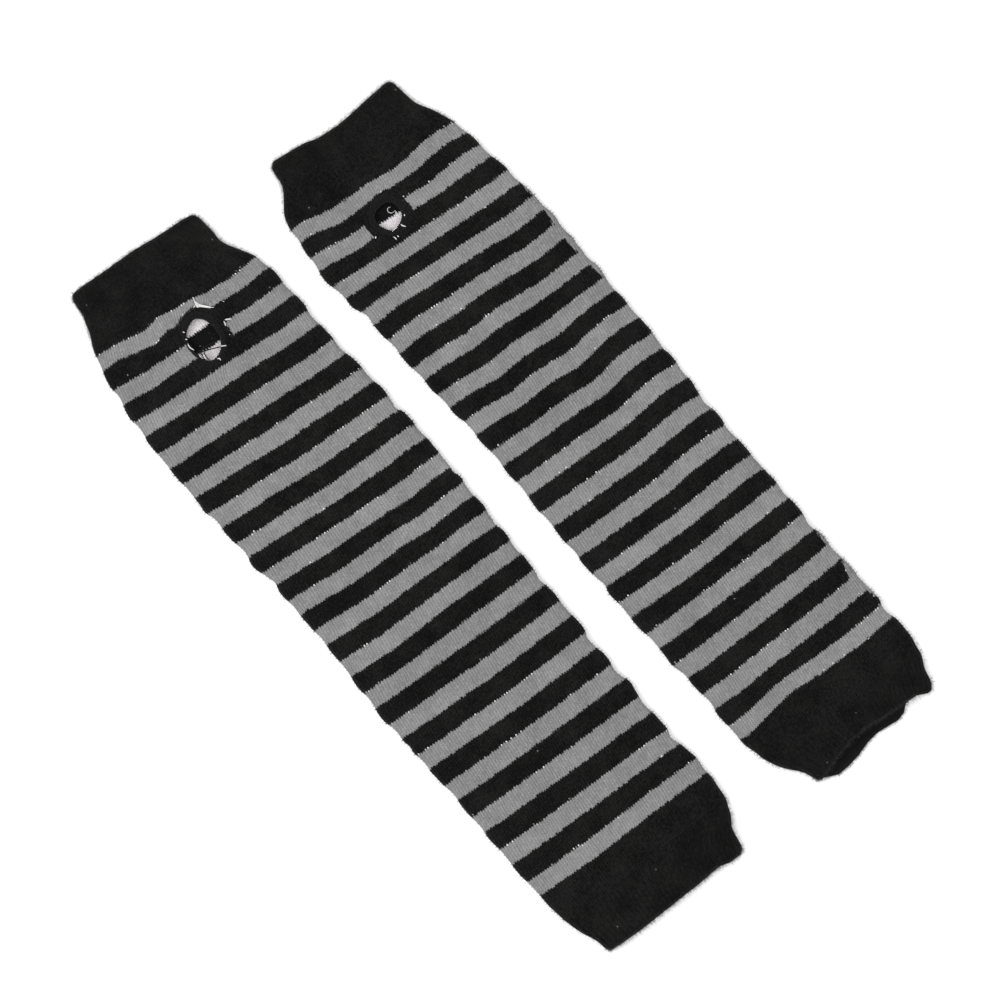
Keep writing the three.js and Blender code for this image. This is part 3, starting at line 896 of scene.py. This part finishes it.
def binding_mesh(warmer, name):
    """The overcast edge of the thumb hole: yarn wrapped over the cut edge, all the way round."""
    thumb = warmer.thumb
    rng = np.random.default_rng(warmer.seed + 1)
    around = BINDING_WRAPS * BINDING_STEPS
    sides = BINDING_SIDES
    turn = np.linspace(-math.pi, math.pi, around, endpoint=False)[:, None]
    across = np.linspace(0, FULL_TURN, sides, endpoint=False)[None, :]
    radius, roll = opening(warmer, turn[:, 0])
    blur = np.hanning(BINDING_BLUR) / np.hanning(BINDING_BLUR).sum()
    radius = np.pad(radius, BINDING_BLUR // 2, mode="wrap")
    radius = np.convolve(radius, blur, "valid")[:, None]
    roll = roll[:, None]
    middle = radius + roll / 2
    middle_x = thumb.x + middle[:, 0] * np.cos(turn[:, 0])
    level = upper_height(warmer, middle_x, thumb.y + 0 * turn[:, 0])[:, None] - WALL / 2
    knots = rng.uniform(-1, 1, BINDING_KNOTS)
    knots[-1] = knots[0]
    uneven = np.interp(turn, np.linspace(-math.pi, math.pi, BINDING_KNOTS), knots)
    strand = np.abs(np.sin(turn * BINDING_WRAPS / 2 + 0.35 * across))
    swell = 1 + 0.2 * (strand - 0.7) + 0.06 * uneven
    reach = middle - (roll / 2) * np.cos(across) * swell
    x = thumb.x + reach * np.cos(turn)
    y = thumb.y + reach * np.sin(turn)
    z = level + (BINDING_HEIGHT / 2) * np.sin(across) * swell
    x, y = placed(warmer, x, y)
    points = np.stack([x, y, z], -1).reshape(-1, 3) * MM
    row = np.arange(around)[:, None]
    column = np.arange(sides)[None, :]
    corner = [
        (row * sides + column),
        (row * sides + (column + 1) % sides),
        ((row + 1) % around * sides + (column + 1) % sides),
        ((row + 1) % around * sides + column),
    ]
    faces = np.stack([np.broadcast_to(c, (around, sides)) for c in corner], -1)
    return make_mesh(name, points, faces.reshape(-1, 4)[:, ::-1].tolist())


def thread_mesh(warmer, name, yarn):
    """The loose ends of one yarn at the thumb hole, joined."""
    rng = np.random.default_rng(warmer.seed + 3)
    all_points = []
    all_faces = []
    count = 0
    for thread in warmer.threads:
        if thread.yarn != yarn:
            continue
        knots = np.array(thread.points, float)
        steps = np.linspace(0, len(knots) - 1, THREAD_STEPS * (len(knots) - 1) + 1)
        line = catmull(knots, steps)
        level = upper_height(warmer, line[:, 0], line[:, 1]) + thread.height
        share = np.linspace(0, 1, len(line))
        taper = np.minimum(1.0, 0.3 + 3 * np.minimum(share, 1 - share))
        thick = taper * rng.uniform(0.85, 1.15, len(line))
        x, y = placed(warmer, line[:, 0], line[:, 1])
        points, faces = swept(np.stack([x, y, level], 1), thread.radius * thick, THREAD_SIDES)
        all_points.append(points)
        all_faces += [tuple(index + count for index in face) for face in faces]
        count += len(points)
    return make_mesh(name, np.concatenate(all_points) * MM, all_faces)


def catmull(knots, steps):
    """Points on the smooth curve through the knots, at these places counted in knots."""
    padded = np.concatenate([2 * knots[:1] - knots[1:2], knots, 2 * knots[-1:] - knots[-2:-1]])
    first = np.minimum(steps.astype(int), len(knots) - 2)
    t = (steps - first)[:, None]
    a, b, c, d = (padded[first + k] for k in range(4))
    square = (2 * a - 5 * b + 4 * c - d) * t**2
    cube = (3 * b - a - 3 * c + d) * t**3
    return 0.5 * (2 * b + (c - a) * t + square + cube)


# The fibres of the fuzz.
FACE_SHARE = 0.04  # how many stand on a layer's face, against 1 on a side fold
MOUTH_SHARE = 2.2  # and how many more on the last mesh rows of a mouth
LAST_ROWS = 160  # a stretch that reaches this far along ends in a mouth
MOUTH_ZONE = 158  # fibres this far along lean out of the mouth
MOUTH_LEAN = 1.8
FIBRE_RADIUS = (0.026, 0.05)
FIBRE_LENGTH = (0.5, 1.9)
DEEP_BLACK = -5  # depth in the black of the cuffs and the thumb patches


def fuzz_mesh(warmer, name, grids):
    """Short fibres standing out of the knit, more of them along the side folds and the mouths."""
    rng = np.random.default_rng(warmer.seed + 2)
    bases = []
    outs = []
    greys = []
    for grid, count in grids:
        weight = (FACE_SHARE + grid["side"] ** 2) * (grid["layer"] > 0.3)
        for mouth in (slice(0, 2), slice(-2, None)):
            if abs(grid["along"][mouth][-1, 0]) > LAST_ROWS:
                weight[mouth] += MOUTH_SHARE
        weight = weight.ravel() / weight.sum()
        chosen = rng.choice(weight.size, count, p=weight)
        bases.append(np.stack([grid[key].ravel()[chosen] for key in "xyz"], 1))
        side = grid["side"].ravel()[chosen]
        up = grid["up"].ravel()[chosen]
        along = grid["along"].ravel()[chosen]
        lean = np.sign(along) * MOUTH_LEAN * (np.abs(along) > MOUTH_ZONE)
        out = np.stack([side, lean, up], 1)
        outs.append(out / np.linalg.norm(out, axis=1)[:, None])
        greys.append(grid["grey"].ravel()[chosen])
    base = np.concatenate(bases)
    out = np.concatenate(outs)
    grey = np.concatenate(greys)
    count = len(base)
    heading = out + rng.normal(0, 0.7, (count, 3))
    heading[:, 2] = np.where(out[:, 2] > 0.5, np.abs(heading[:, 2]), heading[:, 2])
    heading /= np.linalg.norm(heading, axis=1)[:, None]
    bend = rng.normal(0, 0.5, (count, 3))
    long = np.where(grey < DEEP_BLACK, 1.35, np.where(grey < 0, 1.0, 0.7))
    length = (long * rng.uniform(*FIBRE_LENGTH, count))[:, None]
    side = np.cross(heading, bend)
    side /= np.linalg.norm(side, axis=1)[:, None]
    up = np.cross(heading, side)
    radius = rng.uniform(*FIBRE_RADIUS, count)[:, None]
    middle = base + length * (0.5 * heading + 0.12 * bend)
    tip = base + length * (0.85 * heading + 0.5 * bend)
    corners = [(math.cos(a), math.sin(a)) for a in (0, FULL_TURN / 3, 4 * math.pi / 3)]
    rings = [base - 0.1 * out + radius * (c * side + s * up) for c, s in corners]
    rings += [middle + 0.8 * radius * (c * side + s * up) for c, s in corners]
    points = np.stack(rings + [tip], 1)
    points[:, :, 2] = np.maximum(points[:, :, 2], 0.05)
    x, y = placed(warmer, points[..., 0], points[..., 1])
    points = np.stack([x, y, points[..., 2]], -1).reshape(-1, 3) * MM
    pattern = [(2, 1, 0), (0, 1, 4, 3), (1, 2, 5, 4), (2, 0, 3, 5), (3, 4, 6), (4, 5, 6), (5, 3, 6)]
    faces = [tuple(7 * k + index for index in face) for k in range(count) for face in pattern]
    return make_mesh(name, points, faces, {"grey": np.repeat(grey, 7)})


# ---------------------------------------------------------------- materials
SHEEN_ROUGHNESS = 0.5
SPECULAR = 0.08


class Nodes:
    """Short calls for a material's node tree."""

    def __init__(self, name):
        self.material = bpy.data.materials.new(name)
        self.material.use_nodes = True
        self.tree = self.material.node_tree
        self.shader = self.tree.nodes["Principled BSDF"]

    def link(self, value, socket):
        if isinstance(value, bpy.types.NodeSocket):
            self.tree.links.new(value, socket)
        else:
            socket.default_value = value

    def node(self, kind, inputs, **settings):
        """A new node with these settings. inputs gives the value or the source of each input."""
        node = self.tree.nodes.new("ShaderNode" + kind)
        for key, value in settings.items():
            setattr(node, key, value)
        for key, value in inputs.items():
            self.link(value, node.inputs[key])
        return node

    def math(self, operation, *values):
        return self.node("Math", dict(enumerate(values)), operation=operation).outputs[0]

    def add(self, first, second):
        return self.math("ADD", first, second)

    def minus(self, first, second):
        return self.math("SUBTRACT", first, second)

    def times(self, first, second):
        return self.math("MULTIPLY", first, second)

    def vary(self, value, chance, amount):
        """The value, moved by up to half the amount either way as chance goes from 0 to 1."""
        return self.add(value, self.times(self.minus(chance, 0.5), amount))

    def attribute(self, name):
        return self.node("Attribute", {}, attribute_name=name).outputs["Fac"]

    def knit_place(self):
        """The wale and the course, in millimetres along the tube."""
        places = self.node("UVMap", {}, uv_map="knit").outputs[0]
        split = self.node("SeparateXYZ", {0: places})
        return split.outputs[0], split.outputs[1]

    def chance(self, first, second, third=0.0):
        """A random number from 0 to 1 for every combination of the three."""
        join = self.node("CombineXYZ", {0: first, 1: second, 2: third})
        inputs = {"Vector": join.outputs[0]}
        return self.node("TexWhiteNoise", inputs, noise_dimensions="3D").outputs["Value"]

    def noise(self, scale, detail=2.0):
        place = self.node("TexCoord", {}).outputs["Object"]
        inputs = {"Scale": scale, "Detail": detail, "Vector": place}
        return self.node("TexNoise", inputs).outputs["Fac"]

    def ramp(self, value, low, high, start=0.0, end=1.0):
        inputs = {"From Min": low, "From Max": high, "To Min": start, "To Max": end}
        return self.node("MapRange", {**inputs, "Value": value}).outputs[0]

    def mix(self, share, first, second):
        return self.node("Mix", {0: share, 6: first, 7: second}, data_type="RGBA").outputs[2]

    def bump(self, height, distance):
        node = self.node("Bump", {"Distance": distance, "Strength": 1.0, "Height": height})
        self.link(node.outputs[0], self.shader.inputs["Normal"])

    def finish(self, colour, roughness, sheen):
        inputs = {"Base Color": colour, "Roughness": roughness, "Sheen Weight": sheen}
        inputs.update({"Sheen Roughness": SHEEN_ROUGHNESS, "Specular IOR Level": SPECULAR})
        for key, value in inputs.items():
            self.link(value, self.shader.inputs[key])
        return self.material


def tone(value, warmth=0.0):
    return (value * (1 + warmth), value, value * (1 - warmth), 1.0)


def knit_material(name):
    """Plated jersey: grey and black stripes outside, pale yarn behind the grey ones inside."""
    n = Nodes(name)
    grey = n.attribute("grey")
    half = n.attribute("half")
    inside = n.attribute("inside")
    wale, course = n.knit_place()
    patchy = n.noise(45.0, 2.0)
    cloud = n.noise(120.0, 3.0)
    fine = n.noise(1100.0, 2.0)
    fibre = n.noise(2600.0, 2.0)

    # A wale's two legs meet in its middle and lean, so every course is a chevron across it.
    leg = n.times(n.math("ABSOLUTE", n.minus(n.math("FRACT", wale), 0.5)), 2.0)
    row = n.add(n.math("DIVIDE", course, COURSE), n.times(leg, 0.6))
    step = n.minus(n.math("FRACT", row), 0.5)
    plump = n.minus(1.0, n.times(n.math("ABSOLUTE", step), 2.0))
    crown = n.minus(1.0, n.math("POWER", leg, 3.0))
    stitch = n.math("FLOOR", row)
    column = n.math("FLOOR", wale)
    luck = n.chance(column, stitch)

    # The edge between two colours runs along the chevrons, so it is finely jagged.
    jag = n.times(half, n.times(n.minus(0.5, leg), 0.65))
    jag = n.vary(jag, luck, 0.6)
    jag = n.vary(jag, fine, 0.7)
    edge = n.add(grey, jag)
    is_grey = n.ramp(edge, -0.22, 0.22)

    # Painted shade: each wale's crown and the middle of each course are painted lighter, and the
    # grooves between them darker. The chance terms below add tone that differs at random from
    # stitch to stitch and from patch to patch.
    light = n.add(n.times(crown, 0.34), n.times(plump, 0.12))
    for chance, amount in ((luck, 0.22), (fibre, 1.7), (cloud, 0.7), (patchy, 0.4)):
        light = n.vary(light, chance, amount)
    dot = n.times(n.ramp(plump, 0.4, 0.7), n.ramp(leg, 0.6, 0.35))
    glint = n.times(n.ramp(n.chance(column, stitch, 5.0), 0.84, 0.96), dot)
    light = n.add(light, n.times(glint, 0.4))
    grey_yarn = n.mix(n.ramp(light, -0.05, 1.1), tone(0.124), tone(0.276))
    # The black yarn takes the same painted groove shade from light, with fine and cloudy mottling
    # of the yarn added on top.
    groove_shade_and_mottling = n.vary(light, fine, 2.2)
    groove_shade_and_mottling = n.vary(groove_shade_and_mottling, cloud, 1.0)
    black_yarn = n.mix(n.ramp(groove_shade_and_mottling, -0.1, 1.0), tone(0.0002, 0.04), tone(0.0078, 0.04))
    outside = n.mix(is_grey, black_yarn, grey_yarn)

    # Pale plating yarn grins through in single stitches along the colour changes, in runs.
    near_edge = n.ramp(n.math("ABSOLUTE", n.minus(edge, 0.1)), 0.6, 0.35)
    in_runs = n.add(n.chance(column, stitch, 3.0), n.ramp(patchy, 0.35, 0.65, -0.16, 0.1))
    pick = n.ramp(n.add(in_runs, n.ramp(half, -0.5, 0.5, -0.12, 0.0)), 0.88, 0.92)
    speck = n.times(n.times(near_edge, pick), dot)
    outside = n.mix(speck, outside, tone(0.64))
    lint = n.times(n.ramp(n.chance(column, stitch, 7.0), 0.9990, 0.9994), dot)
    outside = n.mix(n.times(lint, 0.5), outside, tone(0.28))

    # Painted shade on the pale inside face: lighter in the middle of each course and darker between
    # courses, mixed with fine fibre noise.
    course_shade_and_fibre = n.ramp(n.add(fine, n.times(plump, 0.3)), 0.3, 1.0)
    pale = n.mix(course_shade_and_fibre, (0.44, 0.415, 0.43, 1.0), (0.70, 0.67, 0.685, 1.0))
    within = n.mix(n.ramp(edge, -0.3, 0.3), tone(0.0030), pale)
    colour = n.mix(inside, outside, within)

    height = n.add(n.times(crown, 0.5), n.times(plump, 0.5))
    height = n.add(height, n.times(fibre, 1.2))
    n.bump(height, 0.00016)
    return n.finish(colour, 0.93, 0.06)


def yarn_material(name, dark, bright, scale=1500.0):
    """Loose or wrapped yarn of one colour, with its fibres."""
    n = Nodes(name)
    fibre = n.noise(scale, 3.0)
    colour = n.mix(n.ramp(fibre, 0.3, 0.7), dark, bright)
    n.bump(fibre, 0.00015)
    return n.finish(colour, 0.9, 0.06)


def fuzz_material(name):
    n = Nodes(name)
    colour = n.mix(n.ramp(n.attribute("grey"), -0.2, 0.2), tone(0.024, 0.03), tone(0.29))
    return n.finish(colour, 0.95, 0.05)


KNIT = knit_material("striped_knit")
BINDING = yarn_material("binding_yarn", tone(0.0020), tone(0.0074))
LIGHT_YARN = yarn_material("plating_yarn", tone(0.46), tone(0.64))
BLACK_YARN = yarn_material("black_yarn", tone(0.003), tone(0.0095))
FUZZ = fuzz_material("fibre_fuzz")


# ---------------------------------------------------------------- the pair
def tube_cut(warmer, start, end):
    """The flat size of a stretch of the tube, all round: its girth and its length, in metres."""
    section = profile(warmer.sections, np.linspace(start, end, 40))
    girth = 2 * (section["right"] - section["left"]) + (math.pi - 2) * section["height"]
    return float(girth.mean()) * MM, (start - end) * MM


# For each stretch of the tube: the number of fibres on it.
FIBRES = {"hand_cuff": 3400, "body": 6000, "arm_cuff": 2800}


def make_warmer(warmer):
    side = warmer.side
    hand_end = warmer.sections[0].along
    arm_end = warmer.sections[-1].along
    stretches = [
        ("hand_cuff", hand_end, warmer.hand_seam, CUFF_ROW, {"mouths": ("hand",)}),
        ("body", warmer.hand_seam, warmer.arm_seam, ROW, {"hole": True}),
        ("arm_cuff", warmer.arm_seam, arm_end, CUFF_ROW, {"mouths": ("arm",), "ribs": True}),
    ]
    grids = []
    for part, start, end, row, options in stretches:
        name = f"{side}_{part}_knit"
        mesh, outer = knit_tube(warmer, name, start, end, row, **options)
        piece = add_piece(name, mesh, KNIT, f"{side}_{part}")
        tube_cut(warmer, start, end)
        grids.append((outer, FIBRES[part]))
    name = f"{side}_thumb_overcast"
    add_piece(name, binding_mesh(warmer, name), BINDING, f"{side}_thumb_binding")
    name = f"{side}_thumb_plating_ends"
    add_piece(name, thread_mesh(warmer, name, "light"), LIGHT_YARN)
    if any(thread.yarn == "black" for thread in warmer.threads):
        name = f"{side}_thumb_black_ends"
        add_piece(name, thread_mesh(warmer, name, "black"), BLACK_YARN)
    name = f"{side}_fuzz"
    add_piece(name, fuzz_mesh(warmer, name, grids), FUZZ)


for warmer in WARMERS:
    make_warmer(warmer)


# ---------------------------------------------------------------- floor, light and camera
# In metres and watts.
FLOOR_SIZE = 3.0
FLOOR_LEVEL = -0.0003
WORLD_STRENGTH = 1.38
SOFTBOX_SIZE = (1.2, 0.9)
SOFTBOX_PLACE = (-0.9, 0.9, 1.3)
SOFTBOX_POWER = 13.2
CAMERA_DISTANCE = 1.4  # above the cloth
CLOTH_TOP = 0.0044
VIEW_CENTRE = (0.00075, -0.00111)
VIEW_WIDTH = 0.4
VIEW_TURN = -41.18  # degrees
SENSOR_WIDTH = 36.0  # mm


def make_floor():
    mesh = bpy.data.meshes.new("floor")
    corners = [(x * FLOOR_SIZE, y * FLOOR_SIZE) for x, y in ((-1, -1), (1, -1), (1, 1), (-1, 1))]
    mesh.from_pydata([(x, y, FLOOR_LEVEL) for x, y in corners], [], [(0, 1, 2, 3)])
    floor = bpy.data.objects.new("floor", mesh)
    bpy.context.scene.collection.objects.link(floor)
    n = Nodes("floor_paper")
    mesh.materials.append(n.finish(tone(0.93), 0.9, 0.0))


def make_lights():
    world = bpy.data.worlds.new("studio")
    bpy.context.scene.world = world
    world.use_nodes = True
    background = world.node_tree.nodes["Background"]
    background.inputs["Color"].default_value = (1.0, 1.0, 1.0, 1.0)
    background.inputs["Strength"].default_value = WORLD_STRENGTH
    lamp = bpy.data.lights.new("softbox", "AREA")
    lamp.shape = "RECTANGLE"
    lamp.size, lamp.size_y = SOFTBOX_SIZE
    lamp.energy = SOFTBOX_POWER
    softbox = bpy.data.objects.new("softbox", lamp)
    softbox.location = SOFTBOX_PLACE
    softbox.rotation_mode = "QUATERNION"
    softbox.rotation_quaternion = (-softbox.location).to_track_quat("-Z", "Y")
    bpy.context.scene.collection.objects.link(softbox)


def make_camera():
    """Straight above the pair, turned so that the warmers run from upper left to lower right."""
    data = bpy.data.cameras.new("camera")
    camera = bpy.data.objects.new("camera", data)
    data.sensor_width = SENSOR_WIDTH
    data.lens = SENSOR_WIDTH * CAMERA_DISTANCE / VIEW_WIDTH
    data.clip_end = 10.0
    camera.location = (*VIEW_CENTRE, CLOTH_TOP + CAMERA_DISTANCE)
    camera.rotation_euler = (0.0, 0.0, math.radians(VIEW_TURN))
    bpy.context.scene.collection.objects.link(camera)
    bpy.context.scene.camera = camera


make_floor()
make_lights()
make_camera()
bpy.context.scene.view_settings.view_transform = "Standard"
